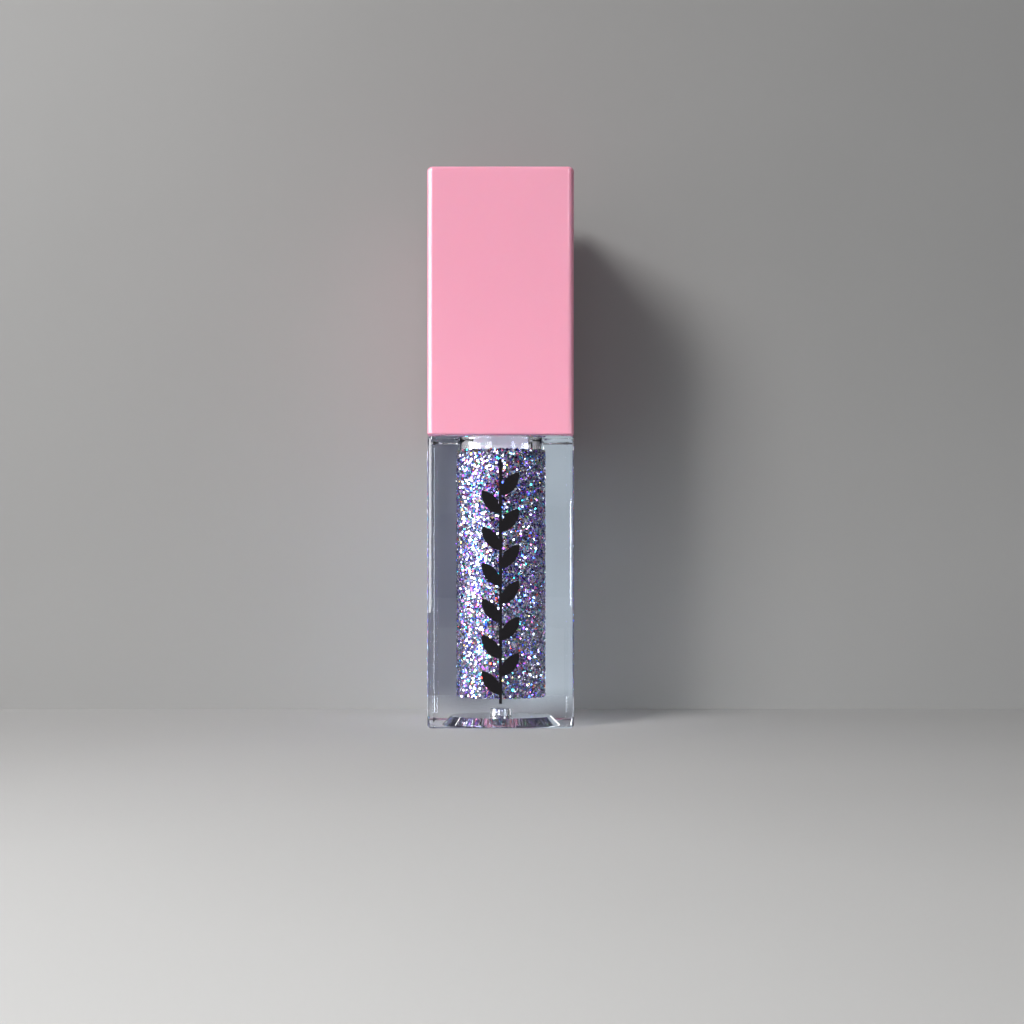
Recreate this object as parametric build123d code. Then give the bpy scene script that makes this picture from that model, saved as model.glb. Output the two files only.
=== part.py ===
"""Square lip gloss tube: a clear bottle, a wiper in its neck, glitter gloss, and a screw cap with a wand.

Frame: millimetres, +Z up, origin at the middle of the bottle's base, front face at -Y.
Each function makes one separate piece. A piece is written to parts/NAME.step under its own name.
"""

import os

from build123d import *

# Bottle block
WIDTH = 20.0  # side of the square bottle and of the square cap
HALF = WIDTH / 2
SHOULDER_Z = 39.8  # top of the square block
CORNER_R = 0.9  # upright corners of bottle and cap
BLOCK_EDGE_R = 0.5  # round along the block's top and bottom edges
BORE_R = 6.1
BORE_FLOOR_Z = 4.0

# Recess under the base, with the moulding gate's stub left in it
RECESS_MOUTH_R = 8.25
RECESS_CEILING_R = 7.15
RECESS_CEILING_Z = 1.2
GATE_WELL_R = 1.6  # small well above the recess's ceiling that keeps the gate off the table
GATE_WELL_TOP_R = 1.45
GATE_WELL_TOP_Z = 2.2
GATE_R = 0.6
GATE_LOW_Z = 1.75

# Neck and screw thread
NECK_R = 7.0
NECK_TOP_Z = 48.8
NECK_ROOT_R = 0.4  # fillet where the neck meets the shoulder
RIM_CHAMFER = 0.25
LEAD = 3.0  # rise of the single-start right-hand thread in one turn
RIDGE_H = 0.7
RIDGE_ROOT_W = 1.2
RIDGE_CREST_W = 0.6
RIDGE_BURIED = 0.2  # depth of a ridge's foot inside the wall that carries it
NECK_RIDGE_Z = 42.9  # middle of the neck ridge where it starts
NECK_RIDGE_TURNS = 1.25
CAP_RIDGE_DROP = 1.15  # the cap's ridge runs this far under the neck's
CAP_RIDGE_TURNS = 1.0
THREAD_GAP = 0.15  # from a ridge's crest to the wall facing it

# Wiper
WIPER_FLANGE_R = 6.8
WIPER_FLANGE_T = 0.6
WIPER_LOW_Z = 38.2
WIPER_TUBE_R = 5.95
WIPER_BORE_R = 5.2
WIPER_BEAD_Z = (45.6, 42.4)
WIPER_BEAD_HALF_H = 0.5
LIP_TOP_Z = 41.4
LIP_LOW_Z = 39.2
LIP_T = 0.5
ORIFICE_R = 2.2

# Gloss
GLOSS_WELL_R = 2.35  # room that the wand keeps in the gloss
GLOSS_WELL_Z = 4.7

# Seal liner
LINER_R = 7.05
LINER_HOLE_R = 3.0
LINER_SLACK = 0.02
CEILING_Z = 50.2  # underside of the inner cap's top plate

# Inner cap
SKIRT_LOW_Z = 40.3
SKIRT_R = 8.65
SKIRT_BORE_R = NECK_R + RIDGE_H + THREAD_GAP
PLATE_T = 1.3
HUB_R = 3.2
HUB_TOP_Z = 57.2
FIN_T = 1.2
FIN_REACH_R = 11.5
FIN_LOW_Z = 41.2

# Stem
STEM_R = 1.8
STEM_LOW_Z = 17.1
STEM_TOP_Z = 56.2
STEM_FIT = 0.03  # gap all round the stem in the inner cap's hub
STEM_COLLAR_R = 2.6
STEM_COLLAR_T = 1.1
STEM_BEAD_R = 2.05
STEM_BEAD_Z = 54.2
STEM_BEAD_HALF_H = 0.5
SOCKET_R = 1.1
SOCKET_DEPTH = 5.0

# Applicator: a slanted paddle of soft plastic in a flocked sleeve
PADDLE_R = 2.1
PADDLE_LOW_Z = 5.3
PADDLE_TOP_Z = 17.0
PADDLE_SLANT = 15.0  # degrees between the slanted face and the stem
PADDLE_TIP_X = 0.45  # where the slanted face's plane meets the lowest level
FLOCK_T = 0.35
PLUG_GAP = 0.05

# Overcap
CAP_LOW_Z = 39.95
CAP_TOP_Z = 76.4
CAP_WALL = 1.25
CAP_ROOF_T = 1.6
CAP_TOP_EDGE_R = 0.6
CAP_LOW_EDGE_R = 0.2
CAP_INNER_CORNER_R = 0.5
CAP_RIB_T = 0.9
CAP_RIB_DEPTH = 1.5
CAP_RIB_LOW_Z = 51.6

# Printed sprig on the front face
INK_T = 0.05
SPRIG_LOW_Z = 3.4
SPRIG_TOP_Z = 36.6
SPRIG_LINE_W = 0.42
LEAF_L = 4.1
LEAF_W = 1.75
LEAF_ANGLE = 52.0  # degrees above level
LEAF_COUNT = 12
LEAF_FIRST_Z = 4.6
LEAF_STEP = 2.45

PARTS_FOLDER = "parts"
MIN_Z = (Align.CENTER, Align.CENTER, Align.MIN)


def revolved(*points):
    """The solid swept by a closed outline of (radius, height) points turned round the Z axis."""
    outline = Plane.XZ * make_face(Polyline(*points, close=True))
    return revolve(outline, Axis.Z)


def rod(radius, low, high):
    """An upright cylinder on the Z axis from one height to another."""
    return Pos(0, 0, low) * Cylinder(radius, high - low, align=MIN_Z)


def square_block(side, low, high, corner_r):
    """An upright square block round the Z axis with rounded upright corners."""
    block = Pos(0, 0, low) * Box(side, side, high - low, align=MIN_Z)
    return fillet(block.edges().filter_by(Axis.Z), corner_r)


def level_edges(shape, height):
    """The edges of a shape that lie wholly at one height."""
    return shape.edges().filter_by_position(Axis.Z, height - 1e-3, height + 1e-3)


def thread_ridge(wall_r, outward, middle_z, turns):
    """One helical ridge that stands out from a round wall, outward (1) or inward (-1)."""
    foot_r = wall_r - outward * RIDGE_BURIED
    crest_r = wall_r + outward * RIDGE_H
    path = Helix(pitch=LEAD, height=LEAD * turns, radius=wall_r)
    corners = (
        (foot_r, -RIDGE_ROOT_W / 2),
        (wall_r, -RIDGE_ROOT_W / 2),
        (crest_r, -RIDGE_CREST_W / 2),
        (crest_r, RIDGE_CREST_W / 2),
        (wall_r, RIDGE_ROOT_W / 2),
        (foot_r, RIDGE_ROOT_W / 2),
    )
    section = Plane.XZ * make_face(Polyline(*corners, close=True))
    return Pos(0, 0, middle_z) * sweep(section, path=path, is_frenet=True)


def base_recess():
    """The hollow under the base: a conical edge, a flat ceiling and a small well round the gate."""
    outline = [
        (0, 0),
        (RECESS_MOUTH_R, 0),
        (RECESS_CEILING_R, RECESS_CEILING_Z),
        (GATE_WELL_R, RECESS_CEILING_Z),
        (GATE_WELL_TOP_R, GATE_WELL_TOP_Z),
        (0, GATE_WELL_TOP_Z),
    ]
    return revolved(*outline)


def gate_stub():
    """What is left of the moulding gate: a short pin that hangs in the well."""
    return rod(GATE_R, GATE_LOW_Z, GATE_WELL_TOP_Z + 0.5)


def bottle():
    """The clear one-piece bottle: square block, straight bore, threaded neck, dished base."""
    block = square_block(WIDTH, 0, SHOULDER_Z, CORNER_R)
    block = fillet(level_edges(block, 0) + level_edges(block, SHOULDER_Z), BLOCK_EDGE_R)
    neck = rod(NECK_R, SHOULDER_Z - 1, NECK_TOP_Z)
    neck = chamfer(level_edges(neck, NECK_TOP_Z), RIM_CHAMFER)
    body = block + neck
    root = level_edges(body, SHOULDER_Z).filter_by(GeomType.CIRCLE).sort_by(SortBy.RADIUS)[-1]
    body = fillet(root, NECK_ROOT_R)
    body += thread_ridge(NECK_R, 1, NECK_RIDGE_Z, NECK_RIDGE_TURNS)
    body -= rod(BORE_R, BORE_FLOOR_Z, NECK_TOP_Z + 1)
    body -= base_recess()
    return body + gate_stub()


def wiper():
    """The soft plug in the neck: a flange on the rim, a beaded tube and a cone with the wiping hole."""
    top = NECK_TOP_Z + WIPER_FLANGE_T
    flange = [(WIPER_BORE_R, top), (WIPER_FLANGE_R, top), (WIPER_FLANGE_R, NECK_TOP_Z)]
    outside = [(WIPER_TUBE_R, NECK_TOP_Z)]
    for bead_z in WIPER_BEAD_Z:
        outside += [
            (WIPER_TUBE_R, bead_z + WIPER_BEAD_HALF_H),
            (BORE_R, bead_z),
            (WIPER_TUBE_R, bead_z - WIPER_BEAD_HALF_H),
        ]
    foot = [(WIPER_TUBE_R, WIPER_LOW_Z + 0.8), (BORE_R, WIPER_LOW_Z + 0.5), (BORE_R, WIPER_LOW_Z)]
    cone = [
        (WIPER_BORE_R, WIPER_LOW_Z),
        (WIPER_BORE_R, LIP_TOP_Z - LIP_T),
        (ORIFICE_R, LIP_LOW_Z),
        (ORIFICE_R, LIP_LOW_Z + LIP_T),
        (WIPER_BORE_R, LIP_TOP_Z),
    ]
    return revolved(*flange, *outside, *foot, *cone)


def gloss_fill():
    """The gloss in the bore, up to the wiper, with the well that the wand stands in."""
    return revolved(
        (0, BORE_FLOOR_Z),
        (BORE_R, BORE_FLOOR_Z),
        (BORE_R, WIPER_LOW_Z),
        (GLOSS_WELL_R, WIPER_LOW_Z),
        (GLOSS_WELL_R, GLOSS_WELL_Z),
        (0, GLOSS_WELL_Z),
    )


def seal_liner():
    """The foam washer between the wiper's flange and the inner cap's ceiling."""
    low = NECK_TOP_Z + WIPER_FLANGE_T + LINER_SLACK
    high = CEILING_Z - LINER_SLACK
    return rod(LINER_R, low, high) - rod(LINER_HOLE_R, low - 1, high + 1)


def inner_cap():
    """The threaded inner cap: skirt, top plate, hub for the stem, and four fins that key it in place."""
    plate_top = CEILING_Z + PLATE_T
    body = rod(SKIRT_R, SKIRT_LOW_Z, plate_top) + rod(HUB_R, plate_top - 0.5, HUB_TOP_Z)
    fin_depth = FIN_REACH_R - SKIRT_R + 0.5
    for turn in (45, 135, 225, 315):
        fin = Pos(SKIRT_R - 0.5, 0, FIN_LOW_Z) * Box(
            fin_depth, FIN_T, plate_top - FIN_LOW_Z, align=(Align.MIN, Align.CENTER, Align.MIN)
        )
        body += Rot(0, 0, turn) * fin
    body -= rod(SKIRT_BORE_R, SKIRT_LOW_Z - 1, CEILING_Z)
    ridge_z = NECK_RIDGE_Z - CAP_RIDGE_DROP
    body += thread_ridge(SKIRT_BORE_R, -1, ridge_z, CAP_RIDGE_TURNS)
    return body - stem_outline(STEM_FIT)


def stem_outline(gap):
    """The stem's upper end, grown by a gap: 0 for the stem itself, the fit's gap for the hub's socket."""
    radius = STEM_R + gap
    bead = STEM_BEAD_R + gap
    return revolved(
        (0, CEILING_Z - 1),
        (radius, CEILING_Z - 1),
        (radius, STEM_BEAD_Z - STEM_BEAD_HALF_H - gap),
        (bead, STEM_BEAD_Z),
        (radius, STEM_BEAD_Z + STEM_BEAD_HALF_H + gap),
        (radius, STEM_TOP_Z + gap),
        (0, STEM_TOP_Z + gap),
    )


def stem():
    """The wand's rod: a beaded upper end, a collar under the inner cap and a socket for the applicator."""
    shaft = rod(STEM_R, STEM_LOW_Z, CEILING_Z) + stem_outline(0)
    collar_top = CEILING_Z - LINER_SLACK
    shaft += rod(STEM_COLLAR_R, collar_top - STEM_COLLAR_T, collar_top)
    return shaft - rod(SOCKET_R, STEM_LOW_Z, STEM_LOW_Z + SOCKET_DEPTH)


def paddle(inset):
    """The applicator's slanted paddle, drawn in from its outer surface by an inset."""
    radius = PADDLE_R - inset
    low = PADDLE_LOW_Z + inset
    body = rod(radius, low, PADDLE_TOP_Z)
    body = fillet(level_edges(body, low), radius * 0.8)
    cutter = Box(20, 20, 60, align=(Align.MIN, Align.CENTER, Align.CENTER))
    return body - Pos(PADDLE_TIP_X - inset, 0, low) * Rot(0, PADDLE_SLANT, 0) * cutter


def applicator_core():
    """The soft plastic paddle with the plug that holds it in the stem."""
    plug = rod(SOCKET_R - PLUG_GAP, PADDLE_TOP_Z - 0.5, STEM_LOW_Z + SOCKET_DEPTH - 0.3)
    return paddle(FLOCK_T) + plug


def applicator_flock():
    """The flocked sleeve over the paddle."""
    return paddle(0) - paddle(FLOCK_T)


def overcap():
    """The square outer cap: a hollow shell with eight ribs above the inner cap."""
    shell = square_block(WIDTH, CAP_LOW_Z, CAP_TOP_Z, CORNER_R)
    shell = fillet(level_edges(shell, CAP_TOP_Z), CAP_TOP_EDGE_R)
    shell = fillet(level_edges(shell, CAP_LOW_Z), CAP_LOW_EDGE_R)
    inner_side = WIDTH - 2 * CAP_WALL
    roof_z = CAP_TOP_Z - CAP_ROOF_T
    shell -= square_block(inner_side, CAP_LOW_Z - 1, roof_z, CAP_INNER_CORNER_R)
    for turn in (0, 90, 180, 270):
        for side in (-1, 1):
            rib = Pos(inner_side / 2 - CAP_RIB_DEPTH, side * inner_side / 4, CAP_RIB_LOW_Z) * Box(
                CAP_RIB_DEPTH + 0.3,
                CAP_RIB_T,
                roof_z - CAP_RIB_LOW_Z + 0.3,
                align=(Align.MIN, Align.CENTER, Align.MIN),
            )
            shell += Rot(0, 0, turn) * rib
    return shell


def leaf(base_z, side):
    """One pointed leaf of the sprig, in the front plane's own X and Y."""
    tip = (LEAF_L, 0)
    upper = ThreePointArc((0, 0), (LEAF_L / 2, LEAF_W / 2), tip)
    lower = ThreePointArc(tip, (LEAF_L / 2, -LEAF_W / 2), (0, 0))
    turn = LEAF_ANGLE if side > 0 else 180 - LEAF_ANGLE
    return Pos(0, base_z) * Rot(0, 0, turn) * make_face([upper, lower])


def front_print():
    """The ink film on the front face: an upright sprig with leaves on alternate sides."""
    line_l = SPRIG_TOP_Z - SPRIG_LOW_Z
    sprig = Pos(0, SPRIG_LOW_Z + line_l / 2) * Rectangle(SPRIG_LINE_W, line_l)
    for number in range(LEAF_COUNT):
        sprig += leaf(LEAF_FIRST_Z + number * LEAF_STEP, 1 if number % 2 else -1)
    front = Plane(origin=(0, -HALF, 0), x_dir=(1, 0, 0), z_dir=(0, -1, 0))
    return extrude(front * sprig, INK_T)


def main():
    os.makedirs(PARTS_FOLDER, exist_ok=True)
    pieces = (
        bottle,
        wiper,
        gloss_fill,
        front_print,
        seal_liner,
        stem,
        overcap,
        inner_cap,
        applicator_core,
        applicator_flock,
    )
    for make in pieces:
        shape = make()
        export_step(shape, os.path.join(PARTS_FOLDER, make.__name__ + ".step"))


main()
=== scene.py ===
import math

import bmesh
import bpy
from bpy.props import FloatProperty, FloatVectorProperty, IntProperty, PointerProperty
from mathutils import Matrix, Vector


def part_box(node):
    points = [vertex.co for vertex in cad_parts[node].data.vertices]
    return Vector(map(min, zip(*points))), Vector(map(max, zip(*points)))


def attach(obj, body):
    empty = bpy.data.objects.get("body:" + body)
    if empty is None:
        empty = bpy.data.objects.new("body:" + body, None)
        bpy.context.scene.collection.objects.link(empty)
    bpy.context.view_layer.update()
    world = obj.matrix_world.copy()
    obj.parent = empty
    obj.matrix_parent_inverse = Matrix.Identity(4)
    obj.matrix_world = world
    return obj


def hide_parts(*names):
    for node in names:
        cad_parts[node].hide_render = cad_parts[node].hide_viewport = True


bl_info = {
    "name": "Square Lip Gloss Tube",
    "version": (1, 0, 0),
    "blender": (4, 5, 0),
    "location": "View3D > Sidebar > Gloss Tube",
    "description": "Finishes a square lip gloss tube: bottle, glitter gloss, cap, wand and studio",
    "category": "Object",
}

MM = 0.001
SHARP_ANGLE = math.radians(25)
EDGE_STEPS = 8
ARC_STEPS = 4
ROOT_STEPS = 6
CEILING_STEPS = 12
THREAD_STEPS = 120
WALL_STEPS = 96
LATHE_STEPS = 160
# The thread ridge's section in millimetres: out from the neck's wall, and up from the ridge's middle.
RIDGE = ((-0.2, -0.6), (0.0, -0.6), (0.7, -0.3), (0.7, 0.3), (0.0, 0.6), (-0.2, 0.6))

# The paper floor and wall, and the glowing card behind the bottle that carries painted shade and painted
# light.
APRON_REACH = 0.6
SWEEP_HALF = 0.8
WALL_Y = 13.5 * MM
WALL_TOP = 0.7
CARD_Y = 10.35 * MM
CARD_HALF = 9.9 * MM
CARD_LOW = 0.1 * MM
CARD_TOP = 39.7 * MM
# Where the card's painted shade at the left turns into its painted glow of light at the right.
CARD_PAINTED_SHADE_X = -4.0 * MM
CARD_PAINTED_GLOW_X = 6.0 * MM
CARD_FADE_Z = 5.0 * MM
CAMERA_PLACE = (1.56 * MM, -170.0 * MM, 21.0 * MM)
OPEN_SPREAD = 180
WASH_SPREAD = 70

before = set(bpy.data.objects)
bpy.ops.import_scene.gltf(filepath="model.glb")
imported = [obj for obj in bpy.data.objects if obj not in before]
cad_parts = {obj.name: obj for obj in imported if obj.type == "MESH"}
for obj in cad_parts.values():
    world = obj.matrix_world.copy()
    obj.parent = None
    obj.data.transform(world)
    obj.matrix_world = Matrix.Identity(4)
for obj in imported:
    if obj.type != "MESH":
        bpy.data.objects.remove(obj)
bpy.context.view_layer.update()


# ---------------------------------------------------------------------------
# Sizes and colours that a user would change
# ---------------------------------------------------------------------------


def length(name, text, default):
    """A length property, in metres, with its default given in millimetres."""
    return FloatProperty(
        name=name, description=text, default=default * MM, min=0.0, unit="LENGTH", precision=5
    )


def colour(name, text, default):
    """A linear RGB colour property."""
    return FloatVectorProperty(
        name=name, description=text, default=default, size=3, min=0.0, max=1.0, subtype="COLOR"
    )


class BottleSizes(bpy.types.PropertyGroup):
    """Sizes of the clear bottle, the same as the CAD bottle's."""

    shoulder: length("Shoulder", "Height of the square block", 39.8)
    corner: length("Corner Radius", "Radius of the block's upright corners", 0.9)
    edge: length("Edge Radius", "Round along the block's top and bottom edges", 0.5)
    neck_radius: length("Neck Radius", "Radius of the neck", 7.0)
    neck_root: length("Neck Root", "Fillet where the neck leaves the block", 0.4)
    lip_bevel: length("Lip Bevel", "Bevel round the neck's rim", 0.25)
    bore_radius: length("Bore Radius", "Radius of the bore", 6.1)
    bore_floor: length("Bore Floor", "Height of the bore's floor", 4.0)
    recess_mouth: length("Recess Mouth", "Radius of the base recess at the base", 8.25)
    recess_ceiling: length("Recess Ceiling", "Radius of the recess's flat ceiling", 7.15)
    recess_height: length("Recess Height", "Height of the recess's ceiling", 1.2)
    well_radius: length("Gate Well Radius", "Radius of the small well round the gate", 1.6)
    well_top_radius: length("Gate Well Top", "Radius of the well at its top", 1.45)
    well_height: length("Gate Well Height", "Height of the well's top", 2.2)
    gate_radius: length("Gate Radius", "Radius of what is left of the gate", 0.6)
    gate_low: length("Gate Height", "Height of the gate's lower end", 1.75)
    recess_soft: length("Recess Round", "Small round along the recess's edges", 0.08)
    thread_start: length("Thread Start", "Height of the middle of the ridge where it starts", 42.9)
    thread_lead: length("Thread Lead", "Rise of the ridge in one turn", 3.0)
    thread_turns: FloatProperty(name="Thread Turns", description="Turns of the ridge", default=1.25)


class GlossSizes(bpy.types.PropertyGroup):
    """Sizes of the glitter gloss."""

    bed_grow: length("Bed Contact", "How far the glitter bed presses into the bore's wall", 0.03)
    flake_radius: length("Flake Radius", "Radius of a middling six-sided glitter flake", 0.14)
    flake_thickness: length("Flake Thickness", "Thickness of a glitter flake", 0.02)
    flake_depth: length("Flake Layer", "Depth of the layer the flakes lie in", 0.14)
    flake_tilt: FloatProperty(
        name="Flake Tilt", description="Most that a flake leans away from the wall",
        default=math.radians(24), subtype="ANGLE",
    )
    well_radius: length("Well Radius", "Radius of the well that the wand leaves in the gloss", 2.35)
    well_floor: length("Well Floor", "Thickness of the gloss under the well", 0.7)
    bed_drop: length("Bed Drop", "How far the bed dips below the bore's floor", 0.02)
    flake_density: FloatProperty(
        name="Flake Density", description="Flakes per square millimetre in each layer", default=6.8
    )
    size_spread: FloatProperty(
        name="Size Spread", description="Most that a flake differs from the middling size", default=0.28
    )
    layers: IntProperty(name="Layers", description="Layers of flakes strewn over the bed", default=4, min=1)
    seed: IntProperty(name="Seed", description="Seed of the glitter's scatter", default=7)


class WandSizes(bpy.types.PropertyGroup):
    """Sizes of the flocked applicator."""

    fibre_length: length("Fibre Length", "Length of a flock fibre", 0.22)
    fibre_width: length("Fibre Width", "Width of a flock fibre at its root", 0.035)
    fibre_density: FloatProperty(
        name="Fibre Density", description="Fibres per square millimetre", default=42.0
    )
    fibre_lean: FloatProperty(
        name="Fibre Lean", description="Most that a fibre leans", default=math.radians(24), subtype="ANGLE"
    )
    seed: IntProperty(name="Seed", description="Seed of the flock's scatter", default=3)
    sleeve_end: length("Sleeve End", "Height below which the sleeve's end faces carry fibres", 7.5)


class TubeColours(bpy.types.PropertyGroup):
    """Colours of the tube and the studio."""

    cap: colour("Cap", "Moulded pastel pink of the cap", (0.91, 0.38, 0.52))
    clear: colour("Clear Plastic", "Tint of the clear bottle", (0.89, 0.91, 0.96))
    wiper: colour("Wiper", "Milky plastic of the wiper", (0.72, 0.66, 0.72))
    bed: colour("Glitter Bed", "Middle tone of the packed glitter behind the flakes", (0.14, 0.12, 0.21))
    ink: colour("Ink", "Printed ink", (0.006, 0.005, 0.007))
    wand: colour("Wand", "Stem and inner cap", (0.80, 0.80, 0.82))
    liner: colour("Liner", "Foam of the seal liner", (0.85, 0.85, 0.84))
    paddle: colour("Paddle", "Soft plastic of the applicator", (0.84, 0.8, 0.78))
    flock: colour("Flock", "Nylon flock of the applicator", (0.86, 0.80, 0.82))
    backdrop: colour("Backdrop", "Paper sweep behind and under the tube", (0.285, 0.285, 0.282))


# ---------------------------------------------------------------------------
# Node helpers
# ---------------------------------------------------------------------------


def add_node(tree, kind, links=(), **settings):
    """Adds a node, sets its settings, then feeds the inputs in links with outputs or values."""
    node = tree.nodes.new(kind)
    for key, value in settings.items():
        setattr(node, key, value)
    for key, value in dict(links).items():
        if isinstance(value, bpy.types.NodeSocket):
            tree.links.new(value, node.inputs[key])
        else:
            node.inputs[key].default_value = value
    return node


def maths(tree, operation, first, second=0.0):
    """The output of a Math node on two outputs or values."""
    return add_node(tree, "ShaderNodeMath", {0: first, 1: second}, operation=operation).outputs[0]


def blend(tree, factor, first, second):
    """The colour between two colours at the given factor."""
    return add_node(tree, "ShaderNodeMix", {0: factor, 6: first, 7: second}, data_type="RGBA").outputs[2]


def open_group(name, kind, inputs, outputs):
    """A new node group with named sockets, and its input and output nodes."""
    tree = bpy.data.node_groups.new(name, kind)
    for title, socket, default in inputs:
        made = tree.interface.new_socket(title, in_out="INPUT", socket_type=socket)
        if default is not None:
            made.default_value = default
    for title, socket in outputs:
        tree.interface.new_socket(title, in_out="OUTPUT", socket_type=socket)
    return tree, tree.nodes.new("NodeGroupInput"), tree.nodes.new("NodeGroupOutput")


def open_material(name):
    """A new empty node material, its tree and its output node."""
    material = bpy.data.materials.new(name)
    material.use_nodes = True
    tree = material.node_tree
    tree.nodes.clear()
    return material, tree, tree.nodes.new("ShaderNodeOutputMaterial")


def object_point(tree):
    """The piece's own coordinates, in metres."""
    return add_node(tree, "ShaderNodeTexCoord").outputs["Object"]


def moulded_skin_group():
    """Moulded plastic's skin: a slow drift of tone, a fine peel in the surface and faint handling marks."""
    tree, given, out = open_group(
        "Moulded Skin",
        "ShaderNodeTree",
        (
            ("Point", "NodeSocketVector", None),
            ("Colour", "NodeSocketColor", (0.8, 0.8, 0.8, 1.0)),
            ("Drift", "NodeSocketFloat", 0.04),
            ("Roughness", "NodeSocketFloat", 0.2),
            ("Marks", "NodeSocketFloat", 0.1),
        ),
        (("Colour", "NodeSocketColor"), ("Roughness", "NodeSocketFloat"), ("Height", "NodeSocketFloat")),
    )
    point = given.outputs["Point"]
    slow = add_node(
        tree, "ShaderNodeTexNoise", {"Vector": point, "Scale": 45.0, "Detail": 2.0, "Roughness": 0.4}
    )
    peel = add_node(
        tree, "ShaderNodeTexNoise", {"Vector": point, "Scale": 900.0, "Detail": 1.0, "Roughness": 0.3}
    )
    stretched = add_node(tree, "ShaderNodeMapping", {"Vector": point, "Scale": (1.0, 1.0, 0.06)})
    rubs = add_node(
        tree,
        "ShaderNodeTexNoise",
        {"Vector": stretched.outputs[0], "Scale": 2600.0, "Detail": 3.0, "Roughness": 0.55},
    )
    centred = maths(tree, "SUBTRACT", slow.outputs["Fac"], 0.5)
    shift = maths(tree, "MULTIPLY", centred, given.outputs["Drift"])
    lift = maths(tree, "ADD", maths(tree, "MULTIPLY", shift, 2.0), 1.0)
    tone = add_node(
        tree, "ShaderNodeVectorMath", {0: given.outputs["Colour"], "Scale": lift}, operation="SCALE"
    )
    rub = maths(tree, "SUBTRACT", rubs.outputs["Fac"], 0.5)
    mark = maths(tree, "MULTIPLY", rub, given.outputs["Marks"])
    rough = maths(tree, "ADD", given.outputs["Roughness"], mark)
    tree.links.new(tone.outputs[0], out.inputs["Colour"])
    tree.links.new(rough, out.inputs["Roughness"])
    tree.links.new(peel.outputs["Fac"], out.inputs["Height"])
    return tree


def foil_facets_group():
    """Packed glitter: each small cell has its own tone out of the foil's range and its own tilt."""
    tree, given, out = open_group(
        "Foil Facets",
        "ShaderNodeTree",
        (
            ("Point", "NodeSocketVector", None),
            ("Tone", "NodeSocketColor", (0.4, 0.4, 0.5, 1.0)),
            ("Cell Size", "NodeSocketFloat", 0.00025),
            ("Tilt", "NodeSocketFloat", 0.6),
        ),
        (("Colour", "NodeSocketColor"), ("Normal", "NodeSocketVector")),
    )
    per_metre = maths(tree, "DIVIDE", 1.0, given.outputs["Cell Size"])
    cells = add_node(
        tree, "ShaderNodeTexVoronoi", {"Vector": given.outputs["Point"], "Scale": per_metre}
    )
    parts = add_node(tree, "ShaderNodeSeparateColor", {"Color": cells.outputs["Color"]})
    hue = add_node(tree, "ShaderNodeValToRGB", {"Fac": parts.outputs["Red"]})
    stops = (
        (0.0, (0.05, 0.05, 0.13, 1)),
        (0.22, (0.30, 0.18, 0.55, 1)),
        (0.40, (0.62, 0.60, 0.85, 1)),
        (0.55, (0.95, 0.95, 1.0, 1)),
        (0.68, (0.25, 0.55, 0.85, 1)),
        (0.80, (0.15, 0.60, 0.60, 1)),
        (0.88, (0.80, 0.35, 0.50, 1)),
        (0.95, (0.90, 0.55, 0.25, 1)),
    )
    ramp = hue.color_ramp
    ramp.interpolation = "CONSTANT"
    while len(ramp.elements) < len(stops):
        ramp.elements.new(1.0)
    for element, (place, tint) in zip(ramp.elements, stops):
        element.position = place
        element.color = tint
    mixed = blend(tree, 0.45, hue.outputs["Color"], given.outputs["Tone"])
    centred = add_node(
        tree, "ShaderNodeVectorMath", {0: cells.outputs["Color"], 1: (0.5, 0.5, 0.5)}, operation="SUBTRACT"
    )
    leaning = add_node(
        tree,
        "ShaderNodeVectorMath",
        {0: centred.outputs[0], "Scale": given.outputs["Tilt"]},
        operation="SCALE",
    )
    flat = add_node(tree, "ShaderNodeNewGeometry").outputs["Normal"]
    turned = add_node(tree, "ShaderNodeVectorMath", {0: flat, 1: leaning.outputs[0]}, operation="ADD")
    unit = add_node(tree, "ShaderNodeVectorMath", {0: turned.outputs[0]}, operation="NORMALIZE")
    tree.links.new(mixed, out.inputs["Colour"])
    tree.links.new(unit.outputs[0], out.inputs["Normal"])
    return tree


def shared_group(name, make):
    """The shared node group of that name, made the first time it is asked for."""
    return bpy.data.node_groups.get(name) or make()


def moulded_plastic(name, tint, roughness, drift=0.04, marks=0.08, peel=0.012, subsurface=0.0):
    """An opaque moulded plastic with the shared skin."""
    material, tree, out = open_material(name)
    skin = add_node(
        tree,
        "ShaderNodeGroup",
        node_tree=shared_group("Moulded Skin", moulded_skin_group),
    )
    tree.links.new(object_point(tree), skin.inputs["Point"])
    values = {"Colour": (*tint, 1.0), "Drift": drift, "Roughness": roughness, "Marks": marks}
    for key, value in values.items():
        skin.inputs[key].default_value = value
    bump = add_node(
        tree, "ShaderNodeBump", {"Height": skin.outputs["Height"], "Strength": peel, "Distance": 0.0004}
    )
    shader = add_node(
        tree,
        "ShaderNodeBsdfPrincipled",
        {
            "Base Color": skin.outputs["Colour"],
            "Roughness": skin.outputs["Roughness"],
            "Normal": bump.outputs["Normal"],
            "IOR": 1.5,
            "Subsurface Weight": subsurface,
            "Subsurface Scale": 0.001,
        },
    )
    tree.links.new(shader.outputs[0], out.inputs["Surface"])
    return material


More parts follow.
